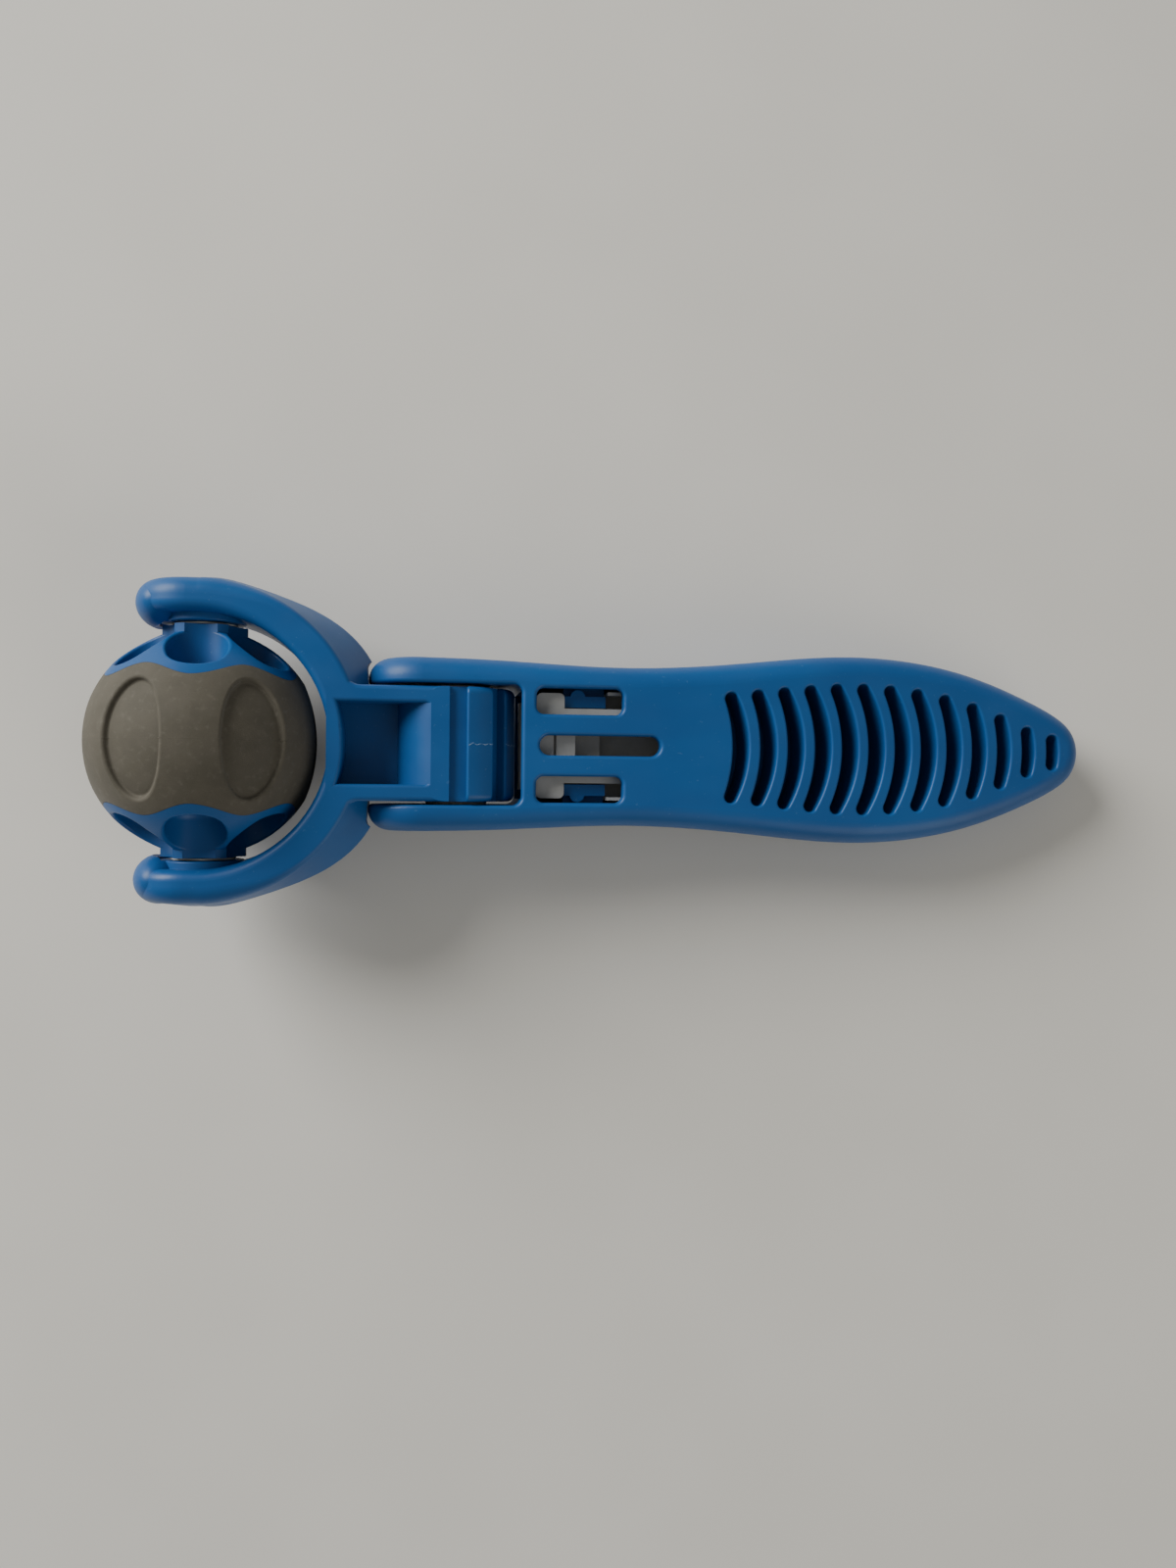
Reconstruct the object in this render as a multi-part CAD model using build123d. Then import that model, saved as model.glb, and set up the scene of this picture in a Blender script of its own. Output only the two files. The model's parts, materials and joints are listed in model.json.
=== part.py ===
from build123d import *
import os
from math import acos, atan2, cos, degrees, hypot, pi, radians, sin

# A hand-held massage roller: a spinning ball with a soft tread, carried in a
# fork that folds on the end of a moulded handle and locks at every 45 degrees.
#
# Everything is drawn in the tool's own frame and laid on the table at the end:
# origin on the hinge axis, X toward the tip of the handle, Y across the tool
# along the hinge pin and the axle, Z up. All lengths are in millimetres.

# ---- driving dimensions -----------------------------------------------------

# Ball
ball_offset = 56.2          # hinge axis to axle
ball_radius = 25.5
ball_end = 23.7             # half the width between its flat ends
hub_radius = 9.2            # round hub that stands out of each end
hub_end = 25.6
tread_depth = 3.4
band_half = 14.75           # mean half width of the tread
band_wave = 1.25            # how far its edge swings in and out
pocket_count = 6
pocket_turn = 3.3           # first pocket, degrees from straight up toward the handle
pocket_radius = 6.3
pocket_ring = 13.8          # pocket centres from the axle
pocket_floor = 14.8
dimple_depth = 1.3
dimple_half_width = 6.8
dimple_half_length = 12.4

# Fork
cavity_radius = 28.0        # space the ball turns in
crease_radius = 35.0        # outer edge of the fork's flat faces
arm_radius = 36.9           # widest line of the arms, on the mid plane
flare = 4.8                 # extra width where the fork meets the neck
fork_half = 12.0            # half thickness of fork and neck
arm_run = 2.4               # straight stretch beyond the axle
boss_radius = 8.9
boss_face = 26.3
lobe_radius = 5.6           # bulge on the inside of each arm's end
lobe_height = 9.5
lobe_x = 9.2                # past the axle
lobe_y = 30.6
neck_half = 12.8            # half width of neck and barrel
neck_pocket_half = 9.07
neck_wall = 3.2             # between the ball's space and the neck pocket
mid_web = 2.0               # web left on the mid plane by every core-out

# Hinge
barrel_radius = 13.4
notch_step = 45.0
notch_half = 1.9
notch_floor = 10.7
pin_radius = 3.0
running_gap = 0.04          # radial, pin to bore and axle to bush
ear_inner = 13.57
ear_nose = 20.0             # how far the ears reach past the hinge axis
ear_slot_end = 14.2

# Handle
handle_half = 12.2          # half thickness at the hinge
handle_tip = 151.0
tip_radius = 9.5
taper_start = 55.0
taper_radius = 1000.0       # long arc that thins the handle toward the tip
handle_edge = 4.8           # rounding all round both faces
finger_slots = 13
finger_first = 64.0
finger_pitch = 6.55
finger_bow = 34.0           # radius each slot is bent to
finger_width = 3.0
finger_swell = 0.035        # extra width at a slot's middle, as a share of its length
finger_margin = 6.7         # slot end to the handle's edge
tip_margin = 5.2            # the same for the last slot
skin = 2.7                  # plastic left over the lock
window_x = (17.4, 37.05)
window_y = (6.95, 12.9)
centre_slot_x = (18.2, 45.7)
centre_slot_half = 2.26

# Lock
lock_travel = 3.2
tooth_half = 1.6
tooth_tip = 14.3
slider_front = 17.7
slider_back = 50.0
slider_top = 9.0
slider_deck = 2.8           # level that passes under the lugs
slider_half = 12.3
lug_x = (24.2, 33.6)
lug_y = (8.75, 11.3)

# Axle hardware
axle_radius = 3.0
bush_radius = 4.5
bush_length = 12.0
cap_radius = 6.4
hinge_cap_radius = 4.9

# Cover under the lock
bay_x = (16.9, 50.8)
bay_half = 13.2
cover_x = (17.6, 58.6)
cover_half = 14.0
cover_thick = 2.0
cover_slot_x = (24.3, 42.7)
screw_x = 55.0
screw_y = 8.0
screw_radius = 1.0
screw_head = 2.1


# ---- helpers ----------------------------------------------------------------

def rod(radius, start, end, x=0.0, z=0.0):
    """Round bar along Y between two stations."""
    return Pos(x, (start + end) / 2, z) * Rot(90, 0, 0) * Cylinder(radius, end - start)


def block(xs, ys, zs):
    """Box between three pairs of limits."""
    middle = [(low + high) / 2 for low, high in (xs, ys, zs)]
    return Pos(*middle) * Box(*[high - low for low, high in (xs, ys, zs)])


def mirrored(shape, plane=Plane.XZ):
    """The shape and its mirror image, by default about the middle of the tool."""
    return shape + mirror(shape, about=plane)


def around_ball(shape):
    """Puts a shape drawn about the origin on the axle."""
    return Pos(-ball_offset, 0, 0) * shape


def ease(value):
    """Smooth step from 0 to 1."""
    t = min(max(value, 0.0), 1.0)
    return t * t * (3 - 2 * t)


# ---- roller -----------------------------------------------------------------

def wave_curve(radius, phase):
    """Edge line of the tread, at one distance from the axle: lowest beside each pocket."""
    points = []
    for step in range(4 * pocket_count):
        angle = 2 * pi * step / (4 * pocket_count)
        height = band_half - band_wave * cos(pocket_count * angle)
        turn = angle + phase
        points.append((radius * sin(turn), height, radius * cos(turn)))
    return Spline(*points, periodic=True).edge()


def wave_ring():
    """Ring outside the tread's edge; its near face is the wave."""
    inner, outer, far = 6.0, 30.0, 40.0
    phase = radians(pocket_turn)
    curves = [wave_curve(inner, phase), wave_curve(outer, phase)]
    rims = [Pos(0, far, 0) * Rot(-90, 0, 0) * CenterArc((0, 0, 0), r, 90, 360).edge() for r in (inner, outer)]
    walls = [
        Face.make_surface_from_curves(curves[0], curves[1]),
        Face.make_surface_from_curves(curves[0], rims[0]),
        Face.make_surface_from_curves(curves[1], rims[1]),
        Face.make_surface_from_curves(rims[0], rims[1]),
    ]
    return Solid(Shell(walls))


def dimple():
    """Cutter for one shallow oval dimple, facing +X, with a floor that follows the ball."""
    oval = extrude(Plane.YZ * Ellipse(dimple_half_length, dimple_half_width), ball_radius + 1)
    return oval - Rot(90, 0, 0) * Rot(0, 0, 180) * Sphere(ball_radius - dimple_depth)


def ball(radius, seam):
    """Sphere with its poles on the axle and its seam turned to an angle from straight up."""
    return Rot(0, seam - 90, 0) * Rot(90, 0, 0) * Sphere(radius)


def at_level(edge, radius):
    """True for an edge that keeps this distance from the ball's centre."""
    return all(abs((edge @ t).length - radius) < 0.02 for t in (0.1, 0.5, 0.9))


def at_pocket(edge):
    """True for an edge where a pocket's wall meets the ball's outer surface."""
    centres = [radians(pocket_turn + 360 / pocket_count * i) for i in range(pocket_count)]
    for t in (0.1, 0.5, 0.9):
        spot = edge @ t
        gaps = [hypot(spot.X - pocket_ring * sin(c), spot.Z - pocket_ring * cos(c)) for c in centres]
        if min(abs(gap - pocket_radius) for gap in gaps) > 0.01:
            return False
    return at_level(edge, ball_radius)


def tread_parts():
    """The soft tread with its dimples, and the groove in the core that it fills."""
    step = 360 / pocket_count
    ring = wave_ring()
    groove = ball(ball_radius + 1, pocket_turn) & rod(ball_radius + 2, -18, 18)
    groove -= ball(ball_radius - tread_depth, pocket_turn) + ring + mirror(ring, about=Plane.XZ)
    band = groove & ball(ball_radius, pocket_turn)
    for index in range(pocket_count):
        band -= Rot(0, pocket_turn + (index + 0.5) * step - 90, 0) * dimple()
    floors = [e for e in band.edges() if at_level(e, ball_radius - dimple_depth)]
    band = fillet([e for e in floors if 40 < e.length < 100], 0.5)
    rims = [e for e in band.edges() if at_level(e, ball_radius)]
    band = fillet([e for e in rims if 40 < e.length < 100], 0.7)
    rims = [e for e in band.edges() if at_level(e, ball_radius)]
    return fillet([e for e in rims if e.length > 100], 0.3), groove


def hub():
    """The two round hubs, hollowed by the same pockets as the ball's ends."""
    bars = mirrored(rod(hub_radius, ball_end, hub_end))
    for index in range(pocket_count):
        turn = Rot(0, pocket_turn + index * 360 / pocket_count, 0)
        bars -= turn * mirrored(rod(pocket_radius, ball_end - 1, hub_end + 1, z=pocket_ring))
    return bars


def roller_parts():
    """Hard core with six pockets in each end, and the soft tread moulded round it."""
    step = 360 / pocket_count
    band, groove = tread_parts()
    core = (ball(ball_radius, pocket_turn + step / 2) & rod(ball_radius + 1, -ball_end, ball_end)) - groove
    for index in range(pocket_count):
        pocket = rod(pocket_radius, pocket_floor, ball_radius + 1, z=pocket_ring)
        floor_edge = pocket.edges().filter_by(GeomType.CIRCLE).sort_by(Axis.Y)[0]
        core -= Rot(0, pocket_turn + index * step, 0) * mirrored(fillet(floor_edge, 2.5))
    core = fillet([e for e in core.edges() if at_pocket(e)], 0.6) + hub()
    core -= rod(bush_radius - 1, -hub_end, hub_end)
    core -= mirrored(rod(bush_radius, hub_end - bush_length, hub_end))
    bush = rod(bush_radius, hub_end - bush_length, hub_end)
    bush -= rod(axle_radius + running_gap, 0, hub_end)
    return {
        "roller_core": around_ball(core),
        "roller_tread": around_ball(band),
        "axle_bush_left": around_ball(bush),
        "axle_bush_right": around_ball(mirror(bush, about=Plane.XZ)),
    }


# ---- head -------------------------------------------------------------------

def arm_section(angle):
    """Cross-section of the fork, at an angle round the ball from the handle's side."""
    width = arm_radius + flare * ease((70 - angle) / 45)
    soft = ease((angle - 45) / 40)
    outline = Polyline(
        (cavity_radius, fork_half), (crease_radius, fork_half), (width, 0),
        (crease_radius, -fork_half), (cavity_radius, -fork_half), close=True,
    )
    face = make_face(outline)
    corners = [v for v in face.vertices() if abs(abs(v.Y) - fork_half) < 0.01]
    face = fillet([v for v in corners if v.X > crease_radius - 0.01], 1.2 + 2.8 * soft)
    face = fillet([v for v in face.vertices() if v.X < cavity_radius + 0.01], 1.6 + 0.8 * soft)
    face = fillet([v for v in face.vertices() if abs(v.Y) < 0.01], 2.0 + 4.0 * soft)
    turn = radians(angle)
    plane = Plane(
        origin=(-ball_offset, 0, 0),
        x_dir=(cos(turn), sin(turn), 0),
        z_dir=(sin(turn), -cos(turn), 0),
    )
    return plane * face


def fork_arm():
    """One half of the fork, from the neck round to the rounded end past the axle."""
    arm = loft([arm_section(a) for a in (0, 12, 25, 35, 45, 55, 65, 78, 90)])
    end = arm_section(90)
    arm += extrude(end, arm_run, dir=(-1, 0, 0))
    bulb_x = -ball_offset - arm_run
    half = Pos(-arm_run, 0, 0) * end & block((bulb_x - 1, bulb_x + 1), (0, 60), (0, 20))
    arm += revolve(half.face(), Axis((bulb_x, 0, 0), (0, 1, 0)), 360)
    oval = Plane.XZ * Ellipse(lobe_radius, lobe_height) & block((0, 10), (-1, 1), (-20, 20))
    lobe = revolve(oval.face(), Axis.Z, 360)
    return arm + Pos(-ball_offset - lobe_x, lobe_y, 0) * lobe


def ear_sweep():
    """Space that the handle's ears need when the head folds."""
    gap = 0.6
    reach, wide, corner = ear_nose + gap, 21.0, 5.5
    outline = Polyline(
        (0, neck_half), (reach, neck_half), (reach, wide - corner / 2), (reach - corner, wide), (0, wide),
        close=True,
    )
    face = make_face(outline)
    face = fillet([v for v in face.vertices() if v.X > 1 and v.Y > neck_half + 1], 2.0)
    return mirrored(revolve(face, Axis.Y, 360))


def barrel():
    """Drum with five notches round the handle's side, for the lock's tooth."""
    drum = rod(barrel_radius, -neck_half, neck_half)
    drum = fillet(drum.edges().filter_by(GeomType.CIRCLE), 1.6)
    bar = block((-barrel_radius, -notch_half), (-neck_half - 1, neck_half + 1), (fork_half, barrel_radius + 1))
    drum -= mirrored(bar, Plane.XY)
    slot = block((notch_floor, barrel_radius + 2), (-neck_half - 1, neck_half + 1), (-notch_half, notch_half))
    for index in range(-2, 3):
        drum -= Rot(0, index * notch_step, 0) * slot
    lips = [e for e in drum.edges().filter_by(Axis.Y) if hypot(e.center().X, e.center().Z) > barrel_radius - 0.3]
    return fillet([e for e in lips if e.center().X > -5], 0.5)


def neck():
    """Square neck with a pocket in each face, blended into the fork's flat faces."""
    corner_x = -ball_offset + (crease_radius**2 - neck_half**2) ** 0.5
    blend = 3.6
    near = -ball_offset + ((crease_radius + blend) ** 2 - (neck_half + blend) ** 2) ** 0.5
    centre = Vector(near, neck_half + blend)
    ball = Vector(-ball_offset, 0)
    touch = ball + (centre - ball).normalized() * crease_radius
    middle = centre - ((centre - touch).normalized() + Vector(0, 1)).normalized() * blend
    half = Polyline((corner_x - 5, 0), (corner_x - 5, touch.Y), (touch.X, touch.Y))
    half += ThreePointArc((touch.X, touch.Y), (middle.X, middle.Y), (near, neck_half))
    half += Polyline((near, neck_half), (-2.6, neck_half), (-2.6, 0), (corner_x - 5, 0))
    plan = mirrored(make_face(half))
    solid = extrude(plan, fork_half, both=True)
    rim = [e for e in solid.edges() if abs(abs(e.center().Z) - fork_half) < 0.01 and e.center().X > touch.X]
    rim = [e for e in rim if e.center().X < -2.7]
    return fillet(rim, 1.1)


def neck_pocket():
    """Core-out in the upper face of the neck, from the ball's side to the barrel, down to the web."""
    left = -ball_offset + cavity_radius + neck_wall
    right = -((barrel_radius**2 - fork_half**2) ** 0.5)
    pocket = block((left - 3, right), (-neck_pocket_half, neck_pocket_half), (mid_web / 2, fork_half + 5))
    pocket = fillet(pocket.edges().filter_by(Axis.Z), 1.5)
    return pocket - Pos(-ball_offset, 0, 0) * Cylinder(cavity_radius + neck_wall, 60)


def pocket_rims(yoke):
    """Edges of the neck pockets in both flat faces."""
    edges = [e for e in yoke.edges() if abs(abs(e.center().Z) - fork_half) < 0.01]
    edges = [e for e in edges if -28 < e.bounding_box().min.X and e.bounding_box().max.X < -4]
    return [e for e in edges if abs(e.center().Y) < neck_pocket_half + 0.1]


def head_parts():
    """Fork, neck and barrel in one moulding, with the axle and its hardware."""
    yoke = mirrored(fork_arm()) + neck() - ear_sweep()
    yoke -= Pos(-ball_offset, 0, 0) * Rot(90, 0, 0) * Sphere(cavity_radius - 0.5)
    yoke -= mirrored(neck_pocket(), Plane.XY)
    yoke = fillet(pocket_rims(yoke), 0.8)
    yoke += barrel()
    yoke -= mirrored(rod(hub_radius + 0.6, 0, boss_face, x=-ball_offset))
    boss = rod(boss_radius, boss_face, cavity_radius + 2.5, x=-ball_offset)
    boss = fillet(boss.edges().filter_by(GeomType.CIRCLE).sort_by(Axis.Y)[0], 0.4)
    yoke += mirrored(boss)
    cap = yoke & rod(cap_radius, arm_radius - 3.0, 40, x=-ball_offset)
    yoke -= mirrored(rod(cap_radius, arm_radius - 3.0, 40, x=-ball_offset))
    groove = rod(cap_radius + 0.35, arm_radius - 1.7, 40, x=-ball_offset)
    yoke -= mirrored(groove)
    yoke -= rod(axle_radius, -40, 40, x=-ball_offset)
    yoke -= rod(pin_radius + running_gap, -neck_half - 1, neck_half + 1)

    washer = rod(7.0, hub_end + 0.15, hub_end + 0.55, x=-ball_offset)
    washer -= rod(axle_radius, 0, 40, x=-ball_offset)
    axle = rod(axle_radius, -arm_radius + 3.2, arm_radius - 3.2, x=-ball_offset)
    axle = chamfer(axle.edges().filter_by(GeomType.CIRCLE), 0.5)
    return {
        "yoke": yoke,
        "axle": axle,
        "axle_cap_left": cap,
        "axle_cap_right": mirror(cap, about=Plane.XZ),
        "thrust_washer_left": washer,
        "thrust_washer_right": mirror(washer, about=Plane.XZ),
    }


# ---- handle -----------------------------------------------------------------

def handle_plan():
    """Outline from above: narrow by the lock, full in the palm, drawn in to the tip."""
    tip = Pos(handle_tip - tip_radius, 0) * CenterArc((0, 0, 0), tip_radius, 0, 50)
    edge = Spline(
        (-22, 19.6), (8, 19.2), (38, 18.1), (66, 19.8), (91, 21.9), (119, 19.0), (137, 12.9), tip @ 1,
        tangents=[(1, -0.01), -(tip % 1)],
    )
    return mirrored(make_face(edge + tip + Polyline((handle_tip, 0), (-22, 0), (-22, 19.6))))


def handle_side():
    """Outline from the side: round nose, level by the lock, then thinning to the tip."""
    nose = handle_half
    nose_x = -ear_nose + nose
    far = handle_tip + 5
    drop = taper_radius - (taper_radius**2 - (far - taper_start) ** 2) ** 0.5
    mid = (far + taper_start) / 2
    mid_drop = taper_radius - (taper_radius**2 - (mid - taper_start) ** 2) ** 0.5
    h = handle_half
    outline = ThreePointArc((nose_x, -h), (-ear_nose, 0), (nose_x, h))
    outline += Line((nose_x, h), (taper_start, h))
    outline += ThreePointArc((taper_start, h), (mid, h - mid_drop), (far, h - drop))
    outline += Line((far, h - drop), (far, drop - h))
    outline += ThreePointArc((far, drop - h), (mid, mid_drop - h), (taper_start, -h))
    outline += Line((taper_start, -h), (nose_x, -h))
    return Plane.XZ * make_face(outline)


def handle_blank():
    """The whole outside of the handle, rounded round both faces."""
    blank = extrude(handle_plan(), 20, both=True) & extrude(handle_side(), 30, both=True)
    edges = [e for e in blank.edges() if abs(e.center().Z) > 0.1 or e.center().X < 0]
    edges = [e for e in edges if abs(e.center().Y) > 1]
    return fillet(edges, handle_edge)


def finger_cut(index, field):
    """One bowed finger slot, widest at its middle, from the mid web up through the upper face."""
    x = finger_first + index * finger_pitch
    bow = CenterArc((x - finger_bow, 0), finger_bow, -35, 70).edge()
    line = (field & bow).edges()[0]
    swell = line @ 0.5 + Vector(finger_swell * line.length, 0)
    sliver = make_face(line + ThreePointArc(line @ 1, swell, line @ 0))
    return extrude(Pos(0, 0, mid_web / 2) * offset(sliver, finger_width / 2, kind=Kind.ARC), 20)


def face_edges(solid, span, low, wide):
    """Edges lying near the flat faces, inside a stretch of the handle's length and width."""
    found = []
    for edge in solid.edges():
        box = edge.bounding_box()
        level = min(abs(box.min.Z), abs(box.max.Z))
        inside = span[0] < box.min.X and box.max.X < span[1] and abs(edge.center().Y) < wide
        if inside and level > low and box.size.Z < 2:
            found.append(edge)
    return found


def lock_bay():
    """Space inside the handle for the lock, open to the ears and to the cover's recess."""
    top = handle_half - skin
    floor = cover_thick - handle_half
    bay = block((ear_slot_end - 2, bay_x[0] + 0.1), (-12.2, 12.2), (floor + 0.6, top))
    bay += block(bay_x, (-bay_half, bay_half), (floor - 0.1, top))
    plate = block(cover_x, (-cover_half, cover_half), (-handle_half - 5, floor))
    return bay + fillet(plate.edges().filter_by(Axis.Z), 2.0)


def lock_lug():
    """Lug beside each rail of the slider, on a foot from the side wall, with a detent bump."""
    lug = block(lug_x, lug_y, (slider_deck + 0.4, 7.6))
    foot = block(lug_x, (lug_y[0], bay_half + 0.2), (slider_deck + 0.4, 5.0))
    bump = Pos(27.2, 11.07, 6.3) * Cylinder(1.7, 2.6)
    return mirrored(lug + foot + bump)


def handle_body():
    """Handle moulding with ears, finger slots, lock bay and windows."""
    body = handle_blank()
    slot = block((-30, ear_slot_end), (-ear_inner, ear_inner), (-20, 20))
    body -= fillet(slot.edges().filter_by(Axis.Z).sort_by(Axis.X)[2:], 2.0)
    body = fillet(face_edges(body, (-21, ear_slot_end + 0.1), 1.0, ear_inner + 0.1), 0.8)
    for index in range(finger_slots):
        margin = tip_margin if index == finger_slots - 1 else finger_margin
        field = offset(handle_plan(), -margin - finger_width / 2, kind=Kind.INTERSECTION).face()
        cut = finger_cut(index, field)
        body -= cut + mirror(cut, about=Plane.XY)
    body = fillet(face_edges(body, (58, 146), 5.0, 17.5), 0.5)
    body -= lock_bay()
    window = block(window_x, window_y, (0, 20))
    body -= mirrored(fillet(window.edges().filter_by(Axis.Z), 1.8))
    middle = sum(centre_slot_x) / 2
    body -= extrude(Pos(middle, 0) * SlotOverall(centre_slot_x[1] - centre_slot_x[0], 2 * centre_slot_half), 20)
    top = [e for e in face_edges(body, (17, 46), handle_half - 0.01, 13.0) if e.center().Z > 0]
    return fillet(top, 0.8)


def handle_parts():
    """Handle with the hinge pin, its caps and its washers."""
    body = handle_body() + lock_lug()
    body -= rod(pin_radius, -17.5, 17.5)
    body -= mirrored(rod(hinge_cap_radius, 17.4, 25))
    body -= screw_pair(screw_radius, -handle_half, -3.0)
    pin = chamfer(rod(pin_radius, -17.4, 17.4).edges().filter_by(GeomType.CIRCLE), 0.4)
    cap = rod(hinge_cap_radius, 17.4, 19.1)
    cap = fillet(cap.edges().filter_by(GeomType.CIRCLE).sort_by(Axis.Y)[-1], 0.6)
    washer = rod(7.0, neck_half + 0.14, ear_inner - 0.13) - rod(pin_radius, 0, 20)
    return {
        "handle": body,
        "hinge_pin": pin,
        "hinge_cap_left": cap,
        "hinge_cap_right": mirror(cap, about=Plane.XZ),
        "hinge_washer_left": washer,
        "hinge_washer_right": mirror(washer, about=Plane.XZ),
    }


# ---- lock -------------------------------------------------------------------

def screw_pair(radius, low, high):
    """Two upright round bars where the cover's screws stand."""
    bar = Pos(screw_x, screw_y, (low + high) / 2) * Cylinder(radius, high - low)
    return mirrored(bar)


def lock_slider():
    """Slider with its tooth, block, side rails, spring arms and stem."""
    low, back, top = -slider_top, slider_back, slider_top
    step = 24.0
    slider = block((slider_front, step), (-11.9, 11.9), (low, top))
    slider = fillet(slider.edges().filter_by(Axis.Z), 1.2)
    slider += block((step - 0.1, back), (-slider_half, slider_half), (low, slider_deck))
    slider += block((step - 0.1, 26.5), (-5.6, 5.6), (low, top))
    slider += block((step - 0.1, 32.5), (-5.6, 5.6), (low, 6.0))
    slider += mirrored(block((step - 0.1, back), (5.5, lug_y[0] - 0.3), (low, top)))
    slider += block((back - 2.5, back), (-slider_half, slider_half), (low, top))
    arm_y = (lug_y[1] + 0.3, lug_y[1] + 1.0)
    slider += mirrored(block((lug_x[1] + 0.3, back), arm_y, (5.4, top)))
    tooth = block((tooth_tip, slider_front + 0.1), (-10, 10), (-tooth_half, tooth_half))
    slider += fillet(tooth.edges().filter_by(Axis.Y).sort_by(Axis.X)[:2], 0.7)
    slider -= block((21.6, 22.2), (-5.6, 5.6), (top - 1.2, top + 1))
    slider += block((28.5, 42.0), (-5.0, 5.0), (-handle_half - 1.3, low + 0.1))
    return slider


def thumb_pad():
    """Ribbed pad on the slider's stem, just clear of the cover."""
    low, high = -handle_half - 2.8, -handle_half - 0.3
    pad = block((24.5, 45.5), (-8.5, 8.5), (low, high))
    pad = fillet(pad.edges().filter_by(Axis.Z), 3.0)
    pad = fillet(pad.faces().sort_by(Axis.Z)[0].edges(), 1.0)
    for index in range(6):
        pad -= rod(0.7, -6.5, 6.5, x=28.0 + 2.8 * index, z=low - 0.15)
    return pad - block((28.5, 42.0), (-5.0, 5.0), (-handle_half - 1.3, 0))


def lock_cover():
    """Plate that closes the lock bay, with the slot the stem travels in."""
    x0, x1 = cover_x[0] + 0.1, cover_x[1] - 0.1
    half = cover_half - 0.1
    plate = block((x0, x1), (-half, half), (-handle_half, cover_thick - handle_half))
    plate = fillet(plate.edges().filter_by(Axis.Z), 1.9)
    plate = fillet(plate.faces().sort_by(Axis.Z)[0].edges(), 0.4)
    slot = block(cover_slot_x, (-5.4, 5.4), (-20, 0))
    plate -= fillet(slot.edges().filter_by(Axis.Z), 1.0)
    plate -= screw_pair(screw_radius, -20, 0)
    return plate - screw_pair(screw_head + 0.1, -20, 1.1 - handle_half)


def cover_screws():
    """Two self-tapping screws with cross recesses."""
    screws = screw_pair(screw_head, 0.2 - handle_half, 1.1 - handle_half)
    screws += screw_pair(screw_radius, 1.0 - handle_half, -3.2)
    for turn in (0, 90):
        bar = Pos(screw_x, screw_y, 0.2 - handle_half) * Rot(0, 0, turn) * Box(2.6, 0.5, 1.0)
        screws -= mirrored(bar)
    return screws


def lock_parts():
    """The sliding lock and what keeps it in the handle."""
    return {
        "lock_slider": lock_slider(),
        "thumb_pad": thumb_pad(),
        "lock_cover": lock_cover(),
        "cover_screws": cover_screws(),
    }


# ---- assembly ---------------------------------------------------------------

def lie_angle():
    """Tilt at which the ball and the underside of the handle's thin end both touch a table."""
    rise = taper_radius - handle_half
    run = taper_start + ball_offset
    return acos((taper_radius - ball_radius) / hypot(rise, run)) - atan2(run, rise)


def laid_down(parts):
    """All parts tilted onto the table, over the middle of their footprint."""
    tilted = {name: Rot(0, degrees(lie_angle()), 0) * shape for name, shape in parts.items()}
    boxes = [tilted[name].bounding_box() for name in ("roller_tread", "handle")]
    middle = (boxes[0].min.X + boxes[1].max.X) / 2
    return {name: Pos(-middle, 0, -boxes[0].min.Z) * shape for name, shape in tilted.items()}


def main():
    parts = laid_down({**roller_parts(), **head_parts(), **handle_parts(), **lock_parts()})
    os.makedirs("parts", exist_ok=True)
    for name, shape in parts.items():
        export_step(shape, f"parts/{name}.step")


main()
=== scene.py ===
# %% [markdown]
# # A massage roller in moulded plastic and soft rubber
#
# The parts of this tool were drawn in a CAD program and arrive here as ready
# meshes. This lesson gives every one of them its finish, adds the small marks
# that moulding leaves behind, and lights the tool as it lies on a pale
# surface. We begin by loading the parts. Blender's lengths are in metres, and
# small details are given in millimetres and multiplied by MM.

# %% Load the parts
import bmesh
import bpy
import json
from math import atan2, cos, pi, radians, sin
from mathutils import Matrix, Vector, noise


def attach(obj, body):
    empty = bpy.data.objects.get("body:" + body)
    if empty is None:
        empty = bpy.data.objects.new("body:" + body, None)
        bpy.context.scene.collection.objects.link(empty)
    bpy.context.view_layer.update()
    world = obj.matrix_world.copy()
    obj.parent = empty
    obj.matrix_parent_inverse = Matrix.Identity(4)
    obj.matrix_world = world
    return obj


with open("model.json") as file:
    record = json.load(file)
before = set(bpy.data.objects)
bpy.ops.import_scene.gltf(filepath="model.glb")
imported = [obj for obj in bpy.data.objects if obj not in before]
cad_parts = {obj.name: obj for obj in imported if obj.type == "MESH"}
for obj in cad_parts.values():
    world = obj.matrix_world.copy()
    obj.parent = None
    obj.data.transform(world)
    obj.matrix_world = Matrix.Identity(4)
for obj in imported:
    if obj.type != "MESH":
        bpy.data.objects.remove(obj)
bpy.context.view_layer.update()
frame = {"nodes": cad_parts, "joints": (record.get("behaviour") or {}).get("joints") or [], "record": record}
nodes = frame["nodes"]

# %% [markdown]
# ## The tool's own axes
#
# The tool lies on its ball and on the tip of its handle, so its length is a few
# degrees off level. Small details are far easier to place along the tool than
# along the table. The hinge gives an origin, and the sliding lock moves exactly
# along the handle, so it gives the direction: together they make one matrix
# that carries a point from the tool's axes to the table's.

# %% Build the tool's axes
joints = {joint["name"]: joint for joint in frame["joints"]}
HINGE = Vector(joints["head_fold"]["pos_m"])
AXLE = Vector(joints["roller_spin"]["pos_m"])
along = -Vector(joints["lock_slide"]["axis"]).normalized()
across = Vector((0, 1, 0))
upward = along.cross(across)
TOOL = Matrix((along, across, upward)).transposed().to_4x4()
TOOL.translation = HINGE
MM = 0.001
BALL_OFFSET = (TOOL.inverted() @ AXLE).x
print("axle from hinge", round(BALL_OFFSET / MM, 2), "mm, tilt", round(along.z, 4))


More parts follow.
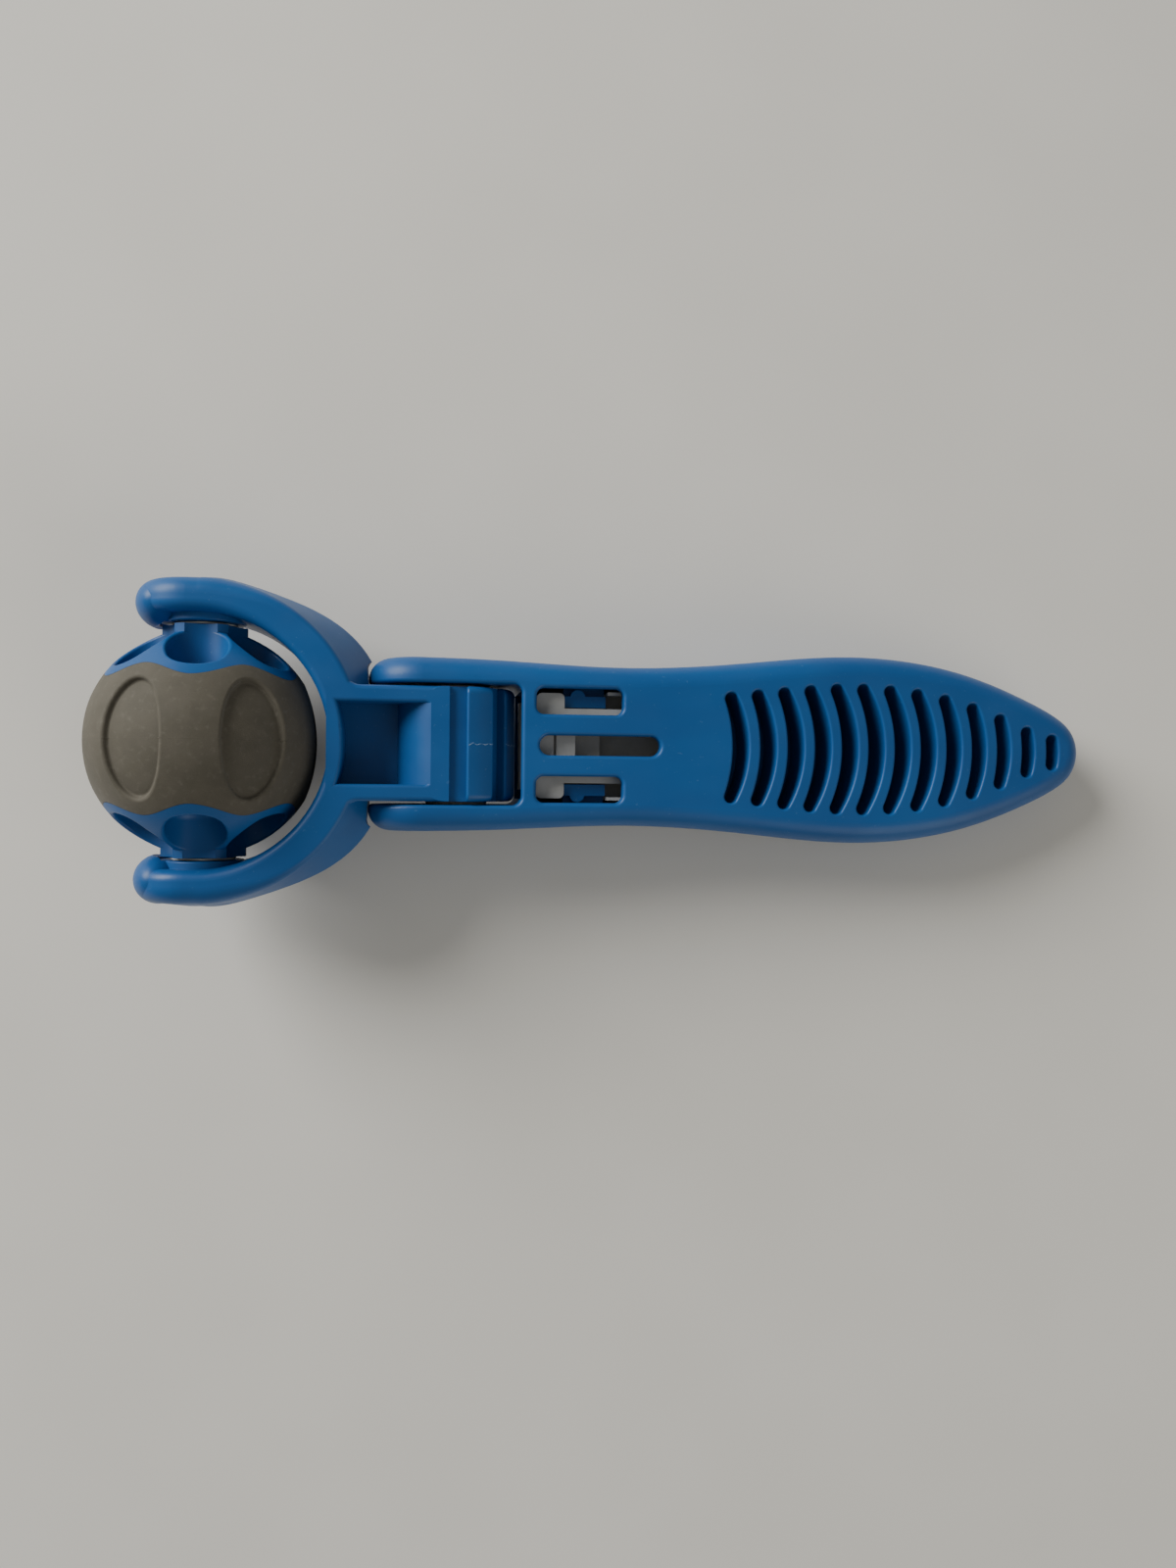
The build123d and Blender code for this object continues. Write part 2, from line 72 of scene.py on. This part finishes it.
# %% [markdown]
# ## Writing shaders as sums
#
# A material is a graph of nodes, and wiring one by hand hides the idea behind
# it. Here a socket is wrapped in a small class, so that adding, subtracting or
# multiplying two of them adds the node that does it.

# %% Sums of sockets
class Wire:
    """An output socket that can take part in a sum."""

    def __init__(self, finish, socket):
        self.finish = finish
        self.socket = socket

    def math(self, operation, *values):
        return self.finish.node("ShaderNodeMath", {"operation": operation}, dict(enumerate(values)))

    def __add__(self, other):
        return self.math("ADD", self, other)

    def __mul__(self, other):
        return self.math("MULTIPLY", self, other)

    def __sub__(self, other):
        return self.math("SUBTRACT", self, other)

    def __rsub__(self, other):
        return self.math("SUBTRACT", other, self)

    __radd__ = __add__
    __rmul__ = __mul__

    def ramp(self, low, high):
        """0 below low, 1 above high, and a soft climb between them."""
        limits = {"Value": self, "From Min": low, "From Max": high}
        return self.finish.node("ShaderNodeMapRange", {"interpolation_type": "SMOOTHSTEP"}, limits)


print("a socket is wrapped by", Wire.__name__)

# %% [markdown]
# A second class stands for one whole material. One method of it makes any node
# from its type, its settings and its inputs, and the others are short names
# for the few things that every finish here needs: cloudy noise measured in
# millimetres, a blend of two colours, and relief.

# %% A material being made
# A Mix node has sockets for numbers and vectors too. These are the places of
# its colour mode: the factor, the two colours, and the output they come from.
MIX_FACTOR = 0
MIX_FIRST = 6
MIX_SECOND = 7
MIX_RESULT = 2


def socket_label(key):
    """The label of a shader's socket from a plain name: base_color is Base Color."""
    return key.replace("_", " ").title().replace("Ior", "IOR")


def rgb(red, green, blue):
    """An opaque colour."""
    return (red, green, blue, 1.0)


class Finish:
    """A material being made around one Principled shader."""

    def __init__(self, name, **constants):
        self.material = bpy.data.materials.new(name)
        self.material.use_nodes = True
        self.tree = self.material.node_tree
        self.shader = self.tree.nodes["Principled BSDF"]
        self.feed(**constants)

    def node(self, kind, settings=None, inputs=None, output=0):
        """Any node, from its type, its settings and the values or wires of its inputs."""
        made = self.tree.nodes.new(kind)
        for key, value in (settings or {}).items():
            setattr(made, key, value)
        for key, value in (inputs or {}).items():
            self.plug(made.inputs[key], value)
        return Wire(self, made.outputs[output])

    def plug(self, socket, value):
        if isinstance(value, Wire):
            self.tree.links.new(value.socket, socket)
        else:
            socket.default_value = value

    def place(self, stretch):
        """Position on the piece in millimetres. A factor under 1 draws a pattern out that way."""
        where = self.node("ShaderNodeTexCoord", output="Object")
        scale = [s / MM for s in stretch]
        return self.node("ShaderNodeVectorMath", {"operation": "MULTIPLY"}, {0: where, 1: scale})

    def noise(self, size, detail=3.0, stretch=(1, 1, 1)):
        """Cloudy noise whose lumps are about this many millimetres across."""
        inputs = {"Vector": self.place(stretch), "Scale": 1.0 / size, "Detail": detail}
        return self.node("ShaderNodeTexNoise", inputs=inputs)

    def blend(self, amount, first, second):
        """Colour between two others."""
        settings = {"data_type": "RGBA", "clamp_factor": True}
        inputs = {MIX_FACTOR: amount, MIX_FIRST: first, MIX_SECOND: second}
        return self.node("ShaderNodeMix", settings, inputs, output=MIX_RESULT)

    def bump(self, height, depth):
        """Relief of this many millimetres, from a height between 0 and 1."""
        inputs = {"Height": height, "Distance": depth * MM, "Strength": 1.0}
        self.feed(normal=self.node("ShaderNodeBump", inputs=inputs))

    def feed(self, **values):
        """Gives the shader's named sockets their values or wires."""
        for key, value in values.items():
            self.plug(self.shader.inputs[socket_label(key)], value)
        return self.material


print("a material is made by", Finish.__name__)

# %% [markdown]
# ## Blue moulded plastic
#
# The handle, the fork and the ball's core are moulded in one blue plastic. The
# mould is finely spark-etched, so the skin has a silky grain too small to see
# singly, and handling polishes it in patches. The colour drifts very slightly
# where the plastic flowed. So there are several scales of noise: a broad one
# for the polish, a long one for the flow, small ones for a few pale specks and
# a slight waviness, and a very fine one for the grain.

# %% Blue plastic
def blue_plastic(name, deep, light):
    finish = Finish(name, specular_ior_level=0.36, coat_roughness=0.3)
    flow = finish.noise(14.0, 2.0, stretch=(0.35, 1, 1)).ramp(0.3, 0.7)
    polish = finish.noise(9.0, 3.0).ramp(0.35, 0.7)
    grain = finish.noise(0.16, 2.0)
    speck = finish.noise(0.9, 4.0).ramp(0.66, 0.74)
    colour = finish.blend(flow, deep, light)
    colour = finish.blend(speck * 0.10, colour, rgb(0.25, 0.42, 0.60))
    waviness = finish.noise(1.6, 2.0)
    finish.bump(grain * 0.7 + waviness * 0.3, 0.012)
    return finish.feed(
        base_color=colour,
        roughness=0.36 + polish * 0.10 + grain * 0.06,
        coat_weight=0.04 + polish * 0.06,
    )


BLUE = blue_plastic("blue_plastic", rgb(0.006, 0.086, 0.285), rgb(0.008, 0.102, 0.325))
print("made", BLUE.name)

# %% [markdown]
# ## Grey rubber of the tread
#
# The band round the ball is a soft rubber moulded over the core. It is matte
# and warm grey, with a fine even grain like leather's back, and it holds pale
# dust in its hollows. The pad under the thumb is a darker rubber of one kind
# with it, so one function makes both.

# %% Grey rubber
def soft_rubber(name, dark, pale, dust):
    finish = Finish(name, specular_ior_level=0.35, sheen_weight=0.08)
    mottle = finish.noise(5.0, 4.0).ramp(0.3, 0.75)
    grain = finish.noise(0.22, 3.0)
    powder = finish.noise(1.4, 5.0).ramp(0.52, 0.80)
    colour = finish.blend(mottle, dark, pale)
    colour = finish.blend(powder * 0.35, colour, dust)
    # Painted shade: the grain's low spots, where the bump dips, are darkened as if in shadow.
    pit_shade_mask = 1 - grain.ramp(0.25, 0.55)
    colour = finish.blend(pit_shade_mask * 0.25, colour, rgb(0.05, 0.045, 0.035))
    finish.bump(grain, 0.035)
    return finish.feed(base_color=colour, roughness=0.66 + grain * 0.18)


TREAD = soft_rubber(
    "grey_rubber",
    dark=rgb(0.092, 0.084, 0.064),
    pale=rgb(0.108, 0.098, 0.076),
    dust=rgb(0.180, 0.168, 0.140),
)
PAD = soft_rubber(
    "dark_rubber",
    dark=rgb(0.060, 0.062, 0.066),
    pale=rgb(0.075, 0.077, 0.080),
    dust=rgb(0.20, 0.20, 0.20),
)
print("made", TREAD.name, "and", PAD.name)

# %% [markdown]
# ## Slippery plastics and steel
#
# The lock slides, so it is moulded in a natural, slightly waxy grey plastic, and
# the bushes and washers in a cream one. The pins are turned steel: fine rings
# run round them, which is noise squeezed along the bar and stretched round it.

# %% Slider, nylon and steel
def waxy_plastic(name, base, shade, roughness):
    finish = Finish(name, specular_ior_level=0.5)
    cloud = finish.noise(3.5, 3.0).ramp(0.3, 0.7)
    grain = finish.noise(0.3, 3.0)
    finish.bump(grain, 0.012)
    colour = finish.blend(cloud, base, shade)
    return finish.feed(base_color=colour, roughness=roughness + grain * 0.12)


def turned_steel(name):
    finish = Finish(name, metallic=1.0)
    rings = finish.noise(0.5, 2.0, stretch=(0.15, 6, 0.15))
    tarnish = finish.noise(2.5, 4.0).ramp(0.45, 0.75)
    finish.bump(rings, 0.006)
    colour = finish.blend(tarnish, rgb(0.56, 0.56, 0.57), rgb(0.42, 0.41, 0.40))
    return finish.feed(base_color=colour, roughness=0.24 + rings * 0.18)


SLIDER = waxy_plastic("grey_plastic", rgb(0.42, 0.42, 0.40), rgb(0.37, 0.37, 0.35), roughness=0.42)
NYLON = waxy_plastic("cream_nylon", rgb(0.72, 0.70, 0.62), rgb(0.66, 0.64, 0.56), roughness=0.38)
STEEL = turned_steel("turned_steel")
print("made", SLIDER.name, NYLON.name, STEEL.name)

# %% [markdown]
# ## Dressing the parts
#
# Each part carries the name of its material in the record that came with it,
# so one table from those names to our finishes dresses the whole tool.

# %% Assign the finishes
FINISHES = {
    "blue_plastic": BLUE,
    "grey_rubber": TREAD,
    "grey_plastic": SLIDER,
    "dark_rubber": PAD,
    "steel": STEEL,
    "nylon": NYLON,
}
for part in frame["record"]["subparts"]:
    shown = nodes[part["node"]]
    shown.data.materials.clear()
    shown.data.materials.append(FINISHES[part["material_slot"]])
    print(part["node"], "->", part["material_slot"])


# %% [markdown]
# ## Marks of the mould: flash and parting lines
#
# Where the two halves of a mould meet, a hair of plastic squeezes out and is
# left as a thin, slightly torn line. One crosses the barrel's lands and another
# runs round the middle of the tread. A small three-cornered section is spun
# round the axis at a radius of one millimetre. Each spun point then moves out
# to the surface, and noise shifts and thins it a little, so the line wavers
# like a real one instead of looking like a printed stripe.

# %% Thin ridges spun round an axis
FULL_TURN = 2 * pi
STEPS_PER_TURN = 720
SPIN_RADIUS = 1.0  # millimetres, before a ridge moves out to its surface
ROOT_DEPTH = 0.03  # millimetres that a ridge's foot reaches below the surface
THIN_RATE = 9  # changes of height in a radian
THIN_ROW = 2.0  # the row of the noise that the height is read from
THIN_MIDDLE = 0.6  # usual height, as a share of the full one
THIN_SWING = 0.8  # how far the height strays from it
THIN_LEAST = 0.25  # what is left of the ridge where it is thinnest
DRIFT_RATE = 14  # sideways wavers in a radian


def angle_off_top(out):
    """Angle of a direction off straight up, positive toward the handle."""
    return atan2(out.x, out.z)


def make_object(name, shell):
    """Turns finished bmesh geometry into a named object."""
    mesh = bpy.data.meshes.new(name)
    shell.to_mesh(mesh)
    shell.free()
    piece = bpy.data.objects.new(name, mesh)
    bpy.context.scene.collection.objects.link(piece)
    print(name, len(mesh.polygons), "faces")
    return piece


def spun_ridge(name, centre, start, sweep, radius_at, width, height, waver):
    """A ridge round the Y axis at a point, from a start angle off straight up."""
    shell = bmesh.new()
    corners = [(-width / 2, -ROOT_DEPTH), (0, height), (width / 2, -ROOT_DEPTH)]
    rim = [shell.verts.new((0, side * MM, (SPIN_RADIUS + rise) * MM)) for side, rise in corners]
    count = len(rim)
    outline = [shell.edges.new((rim[i], rim[(i + 1) % count])) for i in range(count)]
    steps = round(STEPS_PER_TURN * sweep / FULL_TURN)
    turning = {"axis": (0, 1, 0), "cent": (0, 0, 0), "angle": sweep, "steps": steps}
    bmesh.ops.spin(shell, geom=rim + outline, use_merge=sweep >= FULL_TURN, **turning)
    bmesh.ops.holes_fill(shell, edges=[e for e in shell.edges if e.is_boundary], sides=count)
    turn = Matrix.Rotation(start, 4, "Y")
    seed = len(name)
    for vert in shell.verts:
        spot = turn @ vert.co
        out = Vector((spot.x, 0, spot.z))
        angle = angle_off_top(out)
        lift = out.length - SPIN_RADIUS * MM
        thin = THIN_MIDDLE + THIN_SWING * noise.noise(Vector((angle * THIN_RATE, THIN_ROW, seed)))
        drift = waver * noise.noise(Vector((angle * DRIFT_RATE, seed, 0))) * MM
        out = out.normalized() * (radius_at(angle) * MM + lift * max(thin, THIN_LEAST))
        vert.co = TOOL @ (Vector((centre, spot.y + drift, 0)) + out)
    bmesh.ops.recalc_face_normals(shell, faces=shell.faces)
    return make_object(name, shell)


print("a ridge turns in steps of", 360 / STEPS_PER_TURN, "degrees")

# %% [markdown]
# The flash on the barrel is white, because thin plastic is stressed and full of
# tiny tears. It stands on two of the barrel's lands, the ones between the
# notches of the upper side.

# %% Flash on the barrel
FLASH = Finish("torn_flash", roughness=0.7, specular_ior_level=0.3)
whiteness = FLASH.noise(0.6, 3.0).ramp(0.3, 0.6)
FLASH.feed(base_color=FLASH.blend(whiteness, rgb(0.03, 0.14, 0.34), rgb(0.42, 0.55, 0.68)))
BARREL_RADIUS = 13.4
FLASH_SHAPE = {"width": 0.16, "height": 0.05, "waver": 0.5}
LANDS = [(10.0, 35.5), (54.5, 80.0)]  # degrees off straight up, where each starts and ends
for index, (first, last) in enumerate(LANDS):
    ridge = spun_ridge(
        f"barrel_flash_{index}",
        centre=0.0,
        start=radians(first),
        sweep=radians(last - first),
        radius_at=lambda angle: BARREL_RADIUS,
        **FLASH_SHAPE,
    )
    ridge.data.materials.append(FLASH.material)
    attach(ridge, "head")

# %% [markdown]
# The tread's mould closes on its middle line. The ridge there is far finer, and
# of the same rubber. It has to dip into each of the six dimples, so its radius
# is the ball's, less a smooth step down to the dimple's floor. The step follows
# a dimple's wall only roughly, so the ridge stands a little prouder there.

# %% Parting line round the tread
TREAD_RADIUS = 25.5
DIMPLE_DEPTH = 1.3
DIMPLE_ANGLE = radians(33.3)  # middle of the first dimple, off straight up
DIMPLE_SPACING = radians(60)
DIMPLE_HALF = radians(14.4)  # from a dimple's middle to the foot of its wall
DIMPLE_WALL = radians(2.4)  # what the wall takes up
SEAM_SHAPE = {"width": 0.14, "height": 0.035, "waver": 0.0}


def tread_level(angle):
    """Distance of the tread's surface from the axle, in millimetres."""
    off = (angle - DIMPLE_ANGLE + DIMPLE_SPACING / 2) % DIMPLE_SPACING - DIMPLE_SPACING / 2
    step = min(max((abs(off) - DIMPLE_HALF) / DIMPLE_WALL, 0.0), 1.0)
    return TREAD_RADIUS - DIMPLE_DEPTH * (1 - step * step * (3 - 2 * step))


seam = spun_ridge(
    "tread_seam",
    centre=BALL_OFFSET,
    start=0.0,
    sweep=FULL_TURN,
    radius_at=tread_level,
    **SEAM_SHAPE,
)
seam.data.materials.append(TREAD)
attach(seam, "roller")

# %% [markdown]
# ## Floor
#
# The tool lies on a plain pale floor, wide enough to fill the view. It is part
# of the stage and not of the tool.

# %% Floor
FLOOR_HALF = 3.0
shell = bmesh.new()
bmesh.ops.create_grid(shell, x_segments=1, y_segments=1, size=FLOOR_HALF)
floor = make_object("floor", shell)
pale = Finish("pale_floor", specular_ior_level=0.2)
tone = pale.noise(60.0, 2.0).ramp(0.3, 0.7)
colour = pale.blend(tone, rgb(0.78, 0.765, 0.72), rgb(0.81, 0.795, 0.75))
floor.data.materials.append(pale.feed(base_color=colour, roughness=0.9 + tone * 0.05))

# %% [markdown]
# ## Daylight
#
# The light is soft daylight: one wide window to the upper left, a weaker fill
# from the other side, and a pale sky. Both lamps are round and face the
# middle of the floor.

# %% Daylight
def window_light(name, spot, size, power, colour):
    lamp = bpy.data.lights.new(name, "AREA")
    lamp.shape = "DISK"
    lamp.size = size
    lamp.energy = power
    lamp.color = colour
    holder = bpy.data.objects.new(name, lamp)
    holder.location = spot
    holder.rotation_euler = (-Vector(spot)).to_track_quat("-Z", "Y").to_euler()
    bpy.context.scene.collection.objects.link(holder)
    print(name, "light,", power, "W")


window_light("window", (-1.20, 0.90, 0.76), size=1.1, power=35.5, colour=(1.0, 0.985, 0.95))
window_light("fill", (1.05, -1.0, 0.85), size=1.2, power=6.5, colour=(1.0, 0.97, 0.92))
sky = bpy.data.worlds.new("sky")
sky.use_nodes = True
background = sky.node_tree.nodes["Background"]
background.inputs["Color"].default_value = rgb(0.88, 0.86, 0.80)
background.inputs["Strength"].default_value = 0.25
bpy.context.scene.world = sky

# %% [markdown]
# ## Camera
#
# The camera looks down on the tool from a little under thirty centimetres above
# the floor, turned a few degrees from square to it, so the handle runs slightly
# away. Its place is given along the tool's own axes, from the hinge.

# %% Camera
YAW = radians(8.0)
ROLL = radians(-0.55)
EYE_FROM_HINGE = (-7.71, -8.6, 274.0)
LENS_MM = 27.05
SENSOR_MM = 36.0
NEAREST = 0.01
eye = TOOL @ Vector([side * MM for side in EYE_FROM_HINGE])
turn = TOOL.to_3x3()
right = turn @ Vector((cos(YAW), 0, sin(YAW)))
back = turn @ Vector((-sin(YAW), 0, cos(YAW)))
top = back.cross(right)
right, top = right * cos(ROLL) - top * sin(ROLL), top * cos(ROLL) + right * sin(ROLL)
lens = bpy.data.cameras.new("camera")
lens.lens = LENS_MM
lens.sensor_width = SENSOR_MM
lens.clip_start = NEAREST
camera = bpy.data.objects.new("camera", lens)
camera.matrix_world = Matrix.Translation(eye) @ Matrix((right, top, back)).transposed().to_4x4()
bpy.context.scene.collection.objects.link(camera)
bpy.context.scene.camera = camera
print("camera at", [round(v, 3) for v in eye])
